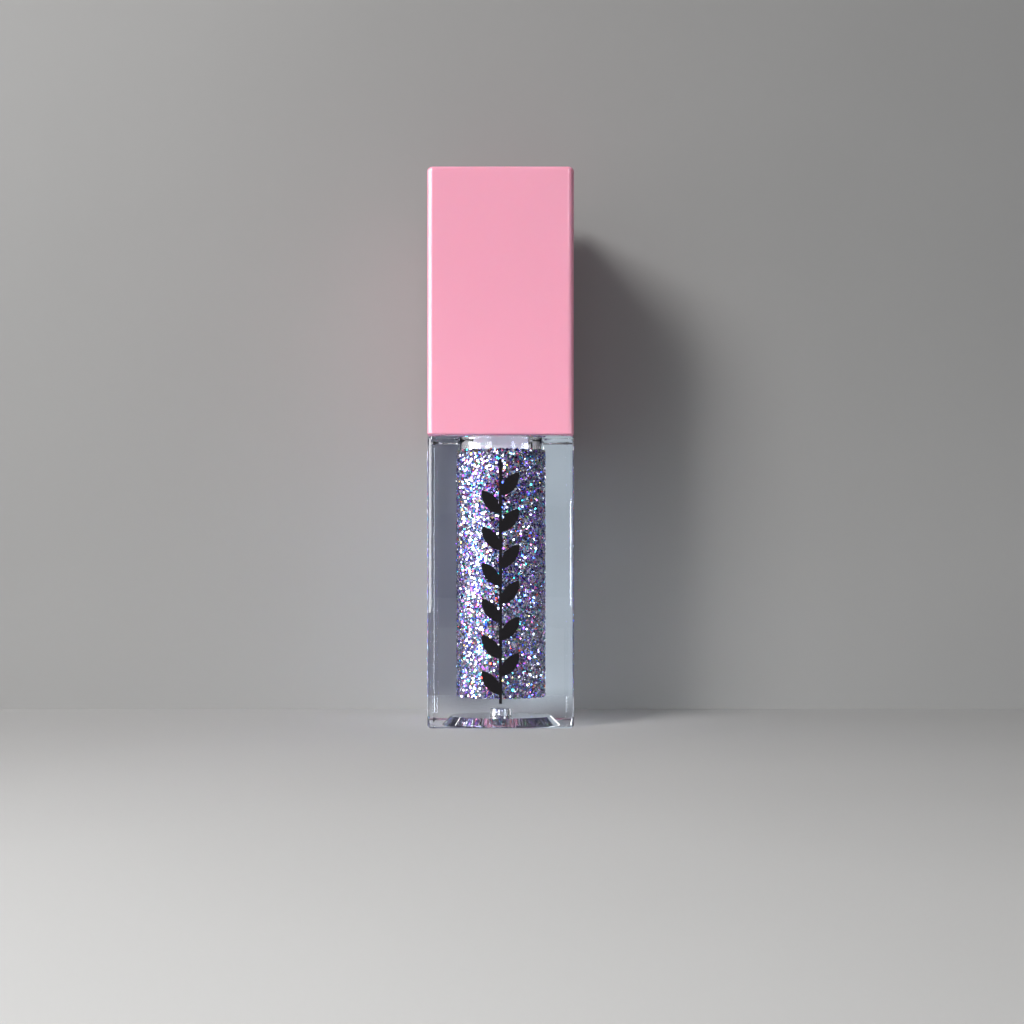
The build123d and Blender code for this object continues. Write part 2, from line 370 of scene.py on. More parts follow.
def clear_plastic(name, tint, ior):
    """Clear moulded plastic that bends light, and lets lamps through to what it holds."""
    material, tree, out = open_material(name)
    point = object_point(tree)
    ripple = add_node(
        tree, "ShaderNodeTexNoise", {"Vector": point, "Scale": 160.0, "Detail": 1.0, "Roughness": 0.3}
    )
    bump = add_node(
        tree, "ShaderNodeBump", {"Height": ripple.outputs["Fac"], "Strength": 0.03, "Distance": 0.0004}
    )
    glass = add_node(
        tree,
        "ShaderNodeBsdfPrincipled",
        {
            "Base Color": (*tint, 1.0),
            "Roughness": 0.0,
            "IOR": ior,
            "Transmission Weight": 1.0,
            "Normal": bump.outputs["Normal"],
        },
    )
    leaving = add_node(tree, "ShaderNodeNewGeometry").outputs["Backfacing"]
    shade_tone = add_node(
        tree, "ShaderNodeMapRange", {"Value": leaving, "To Min": 0.15, "To Max": 0.95}
    )
    through = add_node(tree, "ShaderNodeBsdfTransparent", {"Color": shade_tone.outputs[0]})
    rays = add_node(tree, "ShaderNodeLightPath")
    either = add_node(
        tree,
        "ShaderNodeMixShader",
        {"Fac": rays.outputs["Is Shadow Ray"], 1: glass.outputs[0], 2: through.outputs[0]},
    )
    tree.links.new(either.outputs[0], out.inputs["Surface"])
    return material


def packed_glitter(name, tone):
    """The glitter too deep to see as flakes: faceted foil specks."""
    material, tree, out = open_material(name)
    facets = add_node(
        tree,
        "ShaderNodeGroup",
        node_tree=shared_group("Foil Facets", foil_facets_group),
    )
    tree.links.new(object_point(tree), facets.inputs["Point"])
    for key, value in (("Tone", (*tone, 1.0)), ("Cell Size", 0.27 * MM), ("Tilt", 1.1)):
        facets.inputs[key].default_value = value
    shader = add_node(
        tree,
        "ShaderNodeBsdfPrincipled",
        {
            "Base Color": facets.outputs["Colour"],
            "Normal": facets.outputs["Normal"],
            "Metallic": 0.85,
            "Roughness": 0.3,
        },
    )
    tree.links.new(shader.outputs[0], out.inputs["Surface"])
    return material


def foil(name, tint, roughness):
    """One colour of mirror foil, as glitter is cut from."""
    material, tree, out = open_material(name)
    shader = add_node(
        tree,
        "ShaderNodeBsdfPrincipled",
        {"Base Color": (*tint, 1.0), "Metallic": 1.0, "Roughness": roughness},
    )
    tree.links.new(shader.outputs[0], out.inputs["Surface"])
    return material


def printed_ink(name, tint):
    """Pad-printed ink: near black, with slight pinholes of sheen."""
    material, tree, out = open_material(name)
    grain = add_node(
        tree, "ShaderNodeTexNoise", {"Vector": object_point(tree), "Scale": 5200.0, "Detail": 2.0}
    )
    rough = add_node(
        tree, "ShaderNodeMapRange", {"Value": grain.outputs["Fac"], "To Min": 0.28, "To Max": 0.52}
    )
    shader = add_node(
        tree,
        "ShaderNodeBsdfPrincipled",
        {"Base Color": (*tint, 1.0), "Roughness": rough.outputs[0], "Specular IOR Level": 0.15},
    )
    tree.links.new(shader.outputs[0], out.inputs["Surface"])
    return material


# ---------------------------------------------------------------------------
# Geometry Nodes
# ---------------------------------------------------------------------------

# Foil colours, each with the share of the flakes that it takes and its roughness.
FOILS = (
    ("Silver", (0.96, 0.96, 0.94), 0.24, 0.07),
    ("Frost Lilac", (0.77, 0.70, 0.92), 0.15, 0.10),
    ("Ice Blue", (0.40, 0.66, 1.0), 0.10, 0.08),
    ("Teal", (0.06, 0.75, 0.80), 0.06, 0.08),
    ("Blue", (0.07, 0.16, 0.95), 0.08, 0.10),
    ("Violet", (0.34, 0.10, 0.85), 0.10, 0.10),
    ("Pink", (1.0, 0.26, 0.50), 0.04, 0.08),
    ("Red", (1.0, 0.12, 0.08), 0.02, 0.08),
    ("Gold", (1.0, 0.80, 0.18), 0.025, 0.08),
    ("Leaf", (0.25, 0.90, 0.30), 0.015, 0.08),
    ("Slate", (0.05, 0.05, 0.14), 0.11, 0.22),
    ("Plum", (0.12, 0.03, 0.20), 0.06, 0.22),
)


def six_sided_flake():
    """A flat six-sided plate of unit radius and unit thickness, for the scatter to repeat."""
    bm = bmesh.new()
    rings = []
    for height in (-0.5, 0.5):
        ring = []
        for step in range(6):
            turn = math.tau * step / 6
            ring.append(bm.verts.new((math.cos(turn), math.sin(turn), height)))
        rings.append(ring)
    bm.faces.new(reversed(rings[0]))
    bm.faces.new(rings[1])
    for step in range(6):
        after = (step + 1) % 6
        bm.faces.new((rings[0][step], rings[0][after], rings[1][after], rings[1][step]))
    return mesh_object("Flake Blank", bm)


def pointed_fibre():
    """A three-sided fibre of unit length and unit width that stands on the origin."""
    bm = bmesh.new()
    foot = []
    waist = []
    for step in range(3):
        turn = math.tau * step / 3
        foot.append(bm.verts.new((0.5 * math.cos(turn), 0.5 * math.sin(turn), 0.0)))
        waist.append(bm.verts.new((0.42 * math.cos(turn) + 0.15, 0.42 * math.sin(turn), 0.55)))
    tip = bm.verts.new((0.6, 0.0, 1.0))
    bm.faces.new(reversed(foot))
    for step in range(3):
        after = (step + 1) % 3
        bm.faces.new((foot[step], foot[after], waist[after], waist[step]))
        bm.faces.new((waist[step], waist[after], tip))
    return mesh_object("Fibre Blank", bm)


def linked(name, bm, material=None):
    """A linked mesh object from a bmesh, which it frees."""
    mesh = bpy.data.meshes.new(name)
    bm.to_mesh(mesh)
    bm.free()
    if material:
        mesh.materials.append(material)
    made = bpy.data.objects.new(name, mesh)
    bpy.context.scene.collection.objects.link(made)
    return made


def mesh_object(name, bm, material=None):
    """A linked mesh object from a bmesh, with its faces turned outward."""
    bmesh.ops.recalc_face_normals(bm, faces=bm.faces)
    return linked(name, bm, material)


def scatter_tree(name, blank, materials, tones=()):
    """A tree that strews copies of a blank over a surface: leaned, spun, sized and sunk at random.

    materials are set in order, each on the copies whose random tone is at least its entry in tones.
    """
    inputs = (
        ("Surface", "NodeSocketGeometry", None),
        ("Density", "NodeSocketFloat", 1.0),
        ("Width", "NodeSocketFloat", 1.0),
        ("Height", "NodeSocketFloat", 1.0),
        ("Size Spread", "NodeSocketFloat", 0.2),
        ("Lean", "NodeSocketFloat", 0.3),
        ("Layer Depth", "NodeSocketFloat", 0.0),
        ("Seed", "NodeSocketInt", 0),
    )
    tree, given, out = open_group(name, "GeometryNodeTree", inputs, (("Pieces", "NodeSocketGeometry"),))
    strewn = add_node(
        tree,
        "GeometryNodeDistributePointsOnFaces",
        {
            "Mesh": given.outputs["Surface"],
            "Density": given.outputs["Density"],
            "Seed": given.outputs["Seed"],
        },
    )

    def chance(low, high, offset):
        seed = maths(tree, "ADD", given.outputs["Seed"], float(offset))
        node = add_node(tree, "FunctionNodeRandomValue", data_type="FLOAT")
        sockets = [s for s in node.inputs if s.enabled and s.name in ("Min", "Max")]
        for socket, value in zip(sockets, (low, high)):
            if isinstance(value, bpy.types.NodeSocket):
                tree.links.new(value, socket)
            else:
                socket.default_value = value
        tree.links.new(seed, node.inputs["Seed"])
        return [s for s in node.outputs if s.enabled][0]

    toned = add_node(
        tree,
        "GeometryNodeStoreNamedAttribute",
        {"Geometry": strewn.outputs["Points"], "Name": "tone", "Value": chance(0.0, 1.0, 1)},
        data_type="FLOAT",
        domain="POINT",
    )
    depth = maths(tree, "MULTIPLY", chance(0.0, 1.0, 2), given.outputs["Layer Depth"])
    offset = add_node(
        tree, "ShaderNodeVectorMath", {0: strewn.outputs["Normal"], "Scale": depth}, operation="SCALE"
    )
    placed = add_node(
        tree, "GeometryNodeSetPosition", {"Geometry": toned.outputs[0], "Offset": offset.outputs[0]}
    )
    back = maths(tree, "MULTIPLY", given.outputs["Lean"], -1.0)
    lean_x = chance(back, given.outputs["Lean"], 3)
    lean_y = chance(back, given.outputs["Lean"], 4)
    spin = chance(0.0, math.tau, 5)
    lean = add_node(tree, "ShaderNodeCombineXYZ", {"X": lean_x, "Y": lean_y, "Z": spin})
    turned = add_node(
        tree,
        "FunctionNodeRotateRotation",
        {"Rotation": strewn.outputs["Rotation"], "Rotate By": lean.outputs[0]},
        rotation_space="LOCAL",
    )
    less = maths(tree, "SUBTRACT", 1.0, given.outputs["Size Spread"])
    more = maths(tree, "ADD", 1.0, given.outputs["Size Spread"])
    size = chance(less, more, 6)
    width = maths(tree, "MULTIPLY", size, given.outputs["Width"])
    scale = add_node(
        tree, "ShaderNodeCombineXYZ", {"X": width, "Y": width, "Z": given.outputs["Height"]}
    )
    source = add_node(tree, "GeometryNodeObjectInfo", {"Object": blank})
    copies = add_node(
        tree,
        "GeometryNodeInstanceOnPoints",
        {
            "Points": placed.outputs[0],
            "Instance": source.outputs["Geometry"],
            "Rotation": turned.outputs[0],
            "Scale": scale.outputs[0],
        },
    )
    shape = add_node(tree, "GeometryNodeRealizeInstances", {"Geometry": copies.outputs[0]}).outputs[0]
    tone = add_node(tree, "GeometryNodeInputNamedAttribute", {"Name": "tone"}, data_type="FLOAT")
    for number, material in enumerate(materials):
        chosen = add_node(tree, "GeometryNodeSetMaterial", {"Geometry": shape, "Material": material})
        if number:
            above = add_node(
                tree,
                "FunctionNodeCompare",
                {0: tone.outputs[0], 1: tones[number]},
                data_type="FLOAT",
                operation="GREATER_EQUAL",
            )
            tree.links.new(above.outputs[0], chosen.inputs["Selection"])
        shape = chosen.outputs[0]
    tree.links.new(shape, out.inputs[0])
    return tree


def strew(name, surface, tree, values):
    """Runs a scatter tree over a surface object and returns the copies as one plain mesh object."""
    carrier = bpy.data.objects.new(name + "_carrier", surface.data)
    bpy.context.scene.collection.objects.link(carrier)
    modifier = carrier.modifiers.new("Scatter", "NODES")
    modifier.node_group = tree
    for item in tree.interface.items_tree:
        if item.item_type == "SOCKET" and item.in_out == "INPUT" and item.name in values:
            modifier[item.identifier] = values[item.name]
    bpy.context.view_layer.update()
    graph = bpy.context.evaluated_depsgraph_get()
    mesh = bpy.data.meshes.new_from_object(carrier.evaluated_get(graph), depsgraph=graph)
    carrier.modifiers.clear()
    bpy.data.objects.remove(carrier)
    mesh.name = name
    if "tone" in mesh.attributes:
        mesh.attributes.remove(mesh.attributes["tone"])
    made = bpy.data.objects.new(name, mesh)
    bpy.context.scene.collection.objects.link(made)
    return made


def discard(*objects):
    """Removes helper objects."""
    for item in objects:
        bpy.data.objects.remove(item)


def lathe(name, outline, material):
    """A closed solid of revolution from (radius, height) points that start and end on the axis."""
    bm = bmesh.new()
    rings = []
    for radius, height in outline:
        if radius < 1e-9:
            rings.append([bm.verts.new((0.0, 0.0, height))])
            continue
        ring = []
        for step in range(LATHE_STEPS):
            turn = math.tau * step / LATHE_STEPS
            ring.append(bm.verts.new((radius * math.cos(turn), radius * math.sin(turn), height)))
        rings.append(ring)
    for lower, upper in zip(rings, rings[1:]):
        for step in range(LATHE_STEPS):
            after = (step + 1) % LATHE_STEPS
            corners = [lower[step % len(lower)], lower[after % len(lower)]]
            corners += [upper[after % len(upper)], upper[step % len(upper)]]
            unique = list(dict.fromkeys(corners))
            if len(unique) > 2:
                bm.faces.new(unique)
    return mesh_object(name, bm, material)


def square_ring(half, corner, height, side_steps=22, corner_steps=12):
    """Points of a level ring on a rounded square, from the middle of the +X side anticlockwise."""
    eighth = []
    reach = math.atan((half - corner) / half)
    for step in range(side_steps):
        eighth.append((half, half * math.tan(reach * step / side_steps)))
    for step in range(corner_steps + 1):
        turn = math.pi / 2 * step / corner_steps
        eighth.append((half - corner + corner * math.cos(turn), half - corner + corner * math.sin(turn)))
    for step in range(side_steps - 1, 0, -1):
        eighth.append((half * math.tan(reach * step / side_steps), half))
    points = []
    for quarter in range(4):
        cos, sin = ((1, 0), (0, 1), (-1, 0), (0, -1))[quarter]
        for x, y in eighth:
            points.append((x * cos - y * sin, x * sin + y * cos, height))
    return points


def round_ring(radius, height, pattern):
    """Points of a level circle at the same bearings as the points of another ring."""
    ring = []
    for x, y, _ in pattern:
        bearing = math.atan2(y, x)
        ring.append((radius * math.cos(bearing), radius * math.sin(bearing), height))
    return ring


def arc(middle, radius, start, end, steps):
    """Profile points on an arc between two angles in degrees."""
    points = []
    for step in range(steps + 1):
        turn = math.radians(start + (end - start) * step / steps)
        points.append((middle[0] + radius * math.cos(turn), middle[1] + radius * math.sin(turn)))
    return points


def loft(rings):
    """A closed bmesh through level rings of equal count, closed at both ends by a fan round the axis."""
    bm = bmesh.new()
    made = [[bm.verts.new(point) for point in ring] for ring in rings]
    count = len(made[0])
    for lower, upper in zip(made, made[1:]):
        for step in range(count):
            after = (step + 1) % count
            bm.faces.new((lower[step], lower[after], upper[after], upper[step]))
    for ring in (made[0], made[-1]):
        hub = bm.verts.new((0.0, 0.0, ring[0].co.z))
        for step in range(count):
            bm.faces.new((ring[step], ring[(step + 1) % count], hub))
    return bm


def shade(mesh):
    """Smooth shading split at sharp edges, with faces that lie square to an axis kept flat."""
    for face in mesh.polygons:
        level = max(abs(value) for value in face.normal) > 0.99999
        face.use_smooth = not level
    mesh.set_sharp_from_angle(angle=SHARP_ANGLE)


# ---------------------------------------------------------------------------
# Operators
# ---------------------------------------------------------------------------


def finish_node(node, material):
    """Gives a CAD node its finish."""
    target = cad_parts[node]
    for slot in target.material_slots:
        slot.material = material


class GLOSSTUBE_OT_bottle(bpy.types.Operator):
    """Finish the clear bottle, the milky wiper and the printed sprig"""

    bl_idname = "glosstube.bottle"
    bl_label = "Bottle and Print"

    def execute(self, context):
        tints = context.scene.tube_colours
        block = self.block(context.scene.bottle_sizes)
        block.data.materials.append(clear_plastic("Clear Plastic", tints.clear, 1.53))
        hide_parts("bottle")
        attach(block, "bottle_body")
        finish_node("wiper", moulded_plastic("Milky Wiper", tints.wiper, 0.35, subsurface=0.3))
        finish_node("front_print", printed_ink("Black Ink", tints.ink))
        return {"FINISHED"}

    def block(self, sizes):
        """The clear bottle as one loft: gate, recess, block, neck and bore, with the thread joined on."""
        _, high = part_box("bottle")
        half = high.x
        shoulder = sizes.shoulder
        corner = sizes.corner
        edge = sizes.edge
        pattern = square_ring(half, corner, 0.0)
        recess = self.recess(sizes)
        rings = [round_ring(radius, height, pattern) for radius, height in recess]
        rings.append(square_ring(half - edge, corner - edge, 0.0))
        for step in range(1, EDGE_STEPS + 1):
            turn = math.pi / 2 * step / EDGE_STEPS
            inset = edge * (1 - math.sin(turn))
            rings.append(square_ring(half - inset, corner - inset, edge * (1 - math.cos(turn))))
        for step in range(EDGE_STEPS + 1):
            turn = math.pi / 2 * step / EDGE_STEPS
            inset = edge * (1 - math.cos(turn))
            rings.append(square_ring(half - inset, corner - inset, shoulder - edge * (1 - math.sin(turn))))
        neck = sizes.neck_radius
        bore = sizes.bore_radius
        root = sizes.neck_root
        lip = sizes.lip_bevel
        upper = [
            *arc((neck + root, shoulder + root), root, 270, 180, ROOT_STEPS),
            (neck, high.z - lip),
            (neck - lip, high.z),
            (bore, high.z),
            (bore, sizes.bore_floor),
        ]
        rings += [round_ring(radius, height, pattern) for radius, height in upper]
        bm = loft(rings)
        body = mesh_object("bottle_clear", bm)
        ridge = self.thread(sizes)
        join = body.modifiers.new("Thread", "BOOLEAN")
        join.operation = "UNION"
        join.object = ridge
        join.solver = "EXACT"
        graph = bpy.context.evaluated_depsgraph_get()
        mesh = bpy.data.meshes.new_from_object(body.evaluated_get(graph), depsgraph=graph)
        body.modifiers.clear()
        body.data = mesh
        discard(ridge)
        shade(mesh)
        return body

    def recess(self, sizes):
        """Profile of the hollow under the base, from the gate's tip out to the mouth, with small rounds."""
        soft = sizes.recess_soft
        well = sizes.well_radius
        top = sizes.well_height
        ceiling = sizes.recess_height
        across = sizes.recess_ceiling - well
        return [
            (sizes.gate_radius - soft, sizes.gate_low),
            *arc((sizes.gate_radius - soft, sizes.gate_low + soft), soft, -90, 0, ARC_STEPS),
            (sizes.gate_radius, top - soft),
            *arc((sizes.gate_radius + soft, top - soft), soft, 180, 90, ARC_STEPS),
            (sizes.well_top_radius - 3 * soft, top),
            *arc((sizes.well_top_radius - soft, top - soft), soft, 90, 0, ARC_STEPS),
            (well - 0.3 * soft, ceiling + 2 * soft),
            *arc((well + soft, ceiling + soft), soft, 190, 270, ARC_STEPS),
            *[(well + across * step / CEILING_STEPS, ceiling) for step in range(2, CEILING_STEPS + 1)],
            (sizes.recess_mouth - soft, soft),
            (sizes.recess_mouth, 0.0),
        ]

    def thread(self, sizes):
        """The neck's single-start screw ridge, sunk a little into the neck."""
        bm = bmesh.new()
        rows = []
        for step in range(THREAD_STEPS + 1):
            share = step / THREAD_STEPS
            turn = math.tau * sizes.thread_turns * share
            row = []
            for out, up in RIDGE:
                radius = sizes.neck_radius + out * MM
                height = sizes.thread_start + sizes.thread_lead * sizes.thread_turns * share + up * MM
                row.append(bm.verts.new((radius * math.cos(turn), radius * math.sin(turn), height)))
            rows.append(row)
        for near, far in zip(rows, rows[1:]):
            for step in range(len(RIDGE)):
                after = (step + 1) % len(RIDGE)
                bm.faces.new((near[step], near[after], far[after], far[step]))
        bm.faces.new(rows[0])
        bm.faces.new(reversed(rows[-1]))
        return mesh_object("Thread Ridge", bm)


class GLOSSTUBE_OT_gloss(bpy.types.Operator):
    """Build the glitter gloss: a packed bed and loose foil flakes pressed against the bore's wall"""

    bl_idname = "glosstube.gloss"
    bl_label = "Glitter Gloss"

    def execute(self, context):
        sizes = context.scene.gloss_sizes
        tints = context.scene.tube_colours
        low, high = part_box("gloss_fill")
        radius = high.x + sizes.bed_grow
        well = sizes.well_radius
        well_low = low.z + sizes.well_floor
        bottom = low.z - sizes.bed_drop
        outline = (
            (0.0, bottom),
            (radius, bottom),
            (radius, high.z),
            (well, high.z),
            (well, well_low),
            (0.0, well_low),
        )
        bed = lathe("gloss_bed", outline, packed_glitter("Packed Glitter", tints.bed))
        self.smooth_wall(bed)
        skin = self.wall_surface(radius, low.z, high.z)
        blank = six_sided_flake()
        materials = [foil("Foil " + title, tint, rough) for title, tint, _, rough in FOILS]
        tones = []
        total = 0.0
        for _, _, share, _ in FOILS:
            tones.append(total)
            total += share
        tree = scatter_tree("Glitter Scatter", blank, materials, tones)
        layers = []
        for number in range(sizes.layers):
            values = {
                "Density": sizes.flake_density / MM**2,
                "Width": sizes.flake_radius,
                "Height": sizes.flake_thickness,
                "Size Spread": sizes.size_spread,
                "Lean": sizes.flake_tilt,
                "Layer Depth": sizes.flake_depth,
                "Seed": sizes.seed + 20 * number,
            }
            layers.append(strew(f"glitter_layer_{number + 1}", skin, tree, values))
        discard(skin, blank)
        for piece in (bed, *layers):
            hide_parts("gloss_fill")
            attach(piece, "bottle_body")
        return {"FINISHED"}

    def smooth_wall(self, bed):
        """Shades only the bed's round wall smooth."""
        for face in bed.data.polygons:
            face.use_smooth = abs(face.normal.z) < 0.5

    def wall_surface(self, radius, low, high):
        """The wall and floor that the flakes lie against."""
        bm = bmesh.new()
        rings = []
        for level in (low, high):
            ring = []
            for step in range(WALL_STEPS):
                turn = math.tau * step / WALL_STEPS
                ring.append(bm.verts.new((radius * math.cos(turn), radius * math.sin(turn), level)))
            rings.append(ring)
        for step in range(WALL_STEPS):
            after = (step + 1) % WALL_STEPS
            bm.faces.new((rings[0][step], rings[0][after], rings[1][after], rings[1][step]))
        bm.faces.new(reversed(rings[0]))
        return linked("Glitter Wall", bm)


class GLOSSTUBE_OT_cap(bpy.types.Operator):
    """Finish the pink overcap, the inner cap and the liner"""

    bl_idname = "glosstube.cap"
    bl_label = "Cap"

    def execute(self, context):
        tints = context.scene.tube_colours
        gloss_pink = moulded_plastic("Pink Gloss Plastic", tints.cap, 0.21, drift=0.03, subsurface=0.12)
        finish_node("overcap", gloss_pink)
        finish_node("inner_cap", moulded_plastic("White Inner Cap", tints.wand, 0.3))
        finish_node("seal_liner", moulded_plastic("Liner Foam", tints.liner, 0.75, peel=0.2))
        return {"FINISHED"}


class GLOSSTUBE_OT_wand(bpy.types.Operator):
    """Finish the stem and the applicator, and grow the flock's fibres"""

    bl_idname = "glosstube.wand"
    bl_label = "Wand"

    def execute(self, context):
        sizes = context.scene.wand_sizes
        tints = context.scene.tube_colours
        finish_node("stem", moulded_plastic("Stem Plastic", tints.wand, 0.25, subsurface=0.4))
        finish_node("applicator_core", moulded_plastic("Soft Paddle", tints.paddle, 0.5))
        nap = moulded_plastic("Flock Nap", tints.flock, 0.95, drift=0.12, peel=0.5)
        finish_node("applicator_flock", nap)
        blank = pointed_fibre()
        tree = scatter_tree("Flock Scatter", blank, [nap])
        values = {
            "Density": sizes.fibre_density / MM**2,
            "Width": sizes.fibre_width,
            "Height": sizes.fibre_length,
            "Size Spread": 0.25,
            "Lean": sizes.fibre_lean,
            "Seed": sizes.seed,
        }
        skin = self.outer_skin(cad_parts["applicator_flock"], sizes.sleeve_end)
        fibres = strew("applicator_fibres", skin, tree, values)
        discard(blank, skin)
        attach(fibres, "cap_body")
        return {"FINISHED"}

    def outer_skin(self, flock, sleeve_end):
        """The outward part of the flock sleeve: the faces that lead away from the wand's axis."""
        bm = bmesh.new()
        bm.from_mesh(flock.data)
        inner = []
        for face in bm.faces:
            middle = face.calc_center_median()
            outward = face.normal.x * middle.x + face.normal.y * middle.y
            end = abs(face.normal.z) > 0.6 and middle.z < sleeve_end
            if outward < 0.0 and not end:
                inner.append(face)
        bmesh.ops.delete(bm, geom=inner, context="FACES")
        return linked("Flock Skin", bm)


class GLOSSTUBE_OT_stage(bpy.types.Operator):
    """Set the paper sweep, the glowing card of painted shade and light, the lamps, the surroundings and the
    camera
    """

    bl_idname = "glosstube.stage"
    bl_label = "Studio"

    def execute(self, context):
        tints = context.scene.tube_colours
        self.sweep(tints.backdrop)
        self.card()
        self.lamps()
        self.surroundings(context.scene)
        self.camera(context.scene)
        context.scene.view_settings.view_transform = "Standard"
        context.scene.view_settings.look = "None"
        return {"FINISHED"}

    def sweep(self, tint):
        """The paper floor, and the paper wall that the tube stands against."""
        material, tree, out = open_material("Backdrop Paper")
        point = object_point(tree)
        cloud = add_node(tree, "ShaderNodeTexNoise", {"Vector": point, "Scale": 14.0, "Detail": 2.0})
        tone = add_node(
            tree, "ShaderNodeMapRange", {"Value": cloud.outputs["Fac"], "To Min": 0.9, "To Max": 1.08}
        )
        base = add_node(
            tree, "ShaderNodeVectorMath", {0: tint, "Scale": tone.outputs[0]}, operation="SCALE"
        )
        paper = add_node(
            tree, "ShaderNodeBsdfPrincipled", {"Base Color": base.outputs[0], "Roughness": 0.85}
        )
        behind = add_node(tree, "ShaderNodeBsdfTransparent")
        side = add_node(tree, "ShaderNodeNewGeometry").outputs["Backfacing"]
        shadow = add_node(tree, "ShaderNodeLightPath").outputs["Is Shadow Ray"]
        open_side = maths(tree, "MAXIMUM", side, shadow)
        seen = add_node(
            tree, "ShaderNodeMixShader", {"Fac": open_side, 1: paper.outputs[0], 2: behind.outputs[0]}
        )
        tree.links.new(seen.outputs[0], out.inputs["Surface"])
        line = ((-APRON_REACH, 0.0), (WALL_Y, 0.0), (WALL_Y, WALL_TOP))
        bm = bmesh.new()
        rows = [[bm.verts.new((x, y, z)) for x in (-SWEEP_HALF, SWEEP_HALF)] for y, z in line]
        for near, far in zip(rows, rows[1:]):
            bm.faces.new((near[0], near[1], far[1], far[0]))
        linked("backdrop", bm, material)

    def card(self):
        """A card hidden behind the bottle that glows, though it is no lamp: painted shade at its left and a
        painted glow of light at its right, seen through the bottle's clear sides.
        """
        material, tree, out = open_material("Painted Shade And Glow Card")
        point = object_point(tree)
        place = add_node(tree, "ShaderNodeSeparateXYZ", {0: point})
        cloud = add_node(tree, "ShaderNodeTexNoise", {"Vector": point, "Scale": 90.0, "Detail": 1.0})
        tone = add_node(
            tree, "ShaderNodeMapRange", {"Value": cloud.outputs["Fac"], "To Min": 0.75, "To Max": 1.15}
        )
        across = add_node(
            tree, "ShaderNodeMapRange",
            {"Value": place.outputs["X"], "From Min": CARD_PAINTED_SHADE_X, "From Max": CARD_PAINTED_GLOW_X},
            interpolation_type="SMOOTHSTEP",
        )
        # Painted shade at the left turning into painted light at the right, given off as emission.
        shade_tone = blend(tree, across.outputs[0], (0.07, 0.075, 0.105, 1.0), (0.48, 0.55, 0.59, 1.0))
        glow = add_node(
            tree, "ShaderNodeVectorMath", {0: shade_tone, "Scale": tone.outputs[0]}, operation="SCALE"
        )
        # The card's emission is a painted glow, not a lamp.
        paper = add_node(
            tree, "ShaderNodeBsdfPrincipled",
            {
                "Base Color": (0.05, 0.052, 0.056, 1.0),
                "Emission Color": glow.outputs[0],
                "Emission Strength": 0.8,
            },
        )
        clear = add_node(tree, "ShaderNodeBsdfTransparent")
        up = add_node(
            tree, "ShaderNodeMapRange",
            {"Value": place.outputs["Z"], "From Min": 0.0, "From Max": CARD_FADE_Z},
            interpolation_type="SMOOTHSTEP",
        )
        front = maths(tree, "SUBTRACT", 1.0, add_node(tree, "ShaderNodeNewGeometry").outputs["Backfacing"])
        cover = maths(tree, "MULTIPLY", up.outputs[0], front)
        seen = add_node(
            tree, "ShaderNodeMixShader", {"Fac": cover, 1: clear.outputs[0], 2: paper.outputs[0]}
        )
        tree.links.new(seen.outputs[0], out.inputs["Surface"])
        bm = bmesh.new()
        half = CARD_HALF
        outline = ((-half, CARD_LOW), (half, CARD_LOW), (half, CARD_TOP), (-half, CARD_TOP))
        bm.faces.new([bm.verts.new((x, CARD_Y, z)) for x, z in outline])
        linked("pale_card", bm, material)

    def lamps(self):
        """Key, fills and floor wash that light the scene, and panels that only show as gloss.

        Each row: name, place, what it points at, size, watts, tint, shows in gloss, lights surfaces.
        """
        tube = Vector((0.0, 0.0, 0.035))
        apron = Vector((-0.03, -0.13, 0.0))
        table = (
            ("Key", (-0.30, -0.29, 0.33), tube, (0.15, 0.19), 2.45, (1.0, 0.985, 0.97), True, True),
            ("Front Fill", (0.10, -0.60, 0.22), tube, (0.5, 0.4), 0.34, (0.97, 0.98, 1.0), False, True),
            ("Left Panel", (-0.29, -0.12, 0.09), tube, (0.36, 0.36), 4.4, (1.0, 1.0, 1.0), True, False),
            ("Spark", (0.15, -0.42, 0.22), tube, (0.06, 0.08), 0.16, (0.95, 0.97, 1.0), True, False),
            ("Side Spark", (0.34, -0.22, 0.03), tube, (0.16, 0.09), 1.0, (0.84, 0.9, 1.0), True, False),
            ("Floor Wash", (-0.12, -0.21, 0.12), apron, (0.10, 0.10), 0.13, (1.0, 1.0, 1.0), False, True),
            ("Back Fill", (0.14, 0.42, 0.16), tube, (0.4, 0.3), 0.3, (1.0, 1.0, 1.0), False, True),
        )
        for name, place, aim, size, watts, tint, mirrored, lighting in table:
            lamp = bpy.data.lights.new(name, "AREA")
            lamp.shape = "RECTANGLE"
            lamp.size = size[0]
            lamp.size_y = size[1]
            lamp.energy = watts
            lamp.spread = math.radians(WASH_SPREAD if aim is apron else OPEN_SPREAD)
            lamp.color = tint
            holder = bpy.data.objects.new(name, lamp)
            holder.location = place
            holder.rotation_mode = "QUATERNION"
            holder.rotation_quaternion = (aim - Vector(place)).to_track_quat("-Z", "Y")
            holder.visible_glossy = mirrored
            holder.visible_diffuse = lighting
            bpy.context.scene.collection.objects.link(holder)

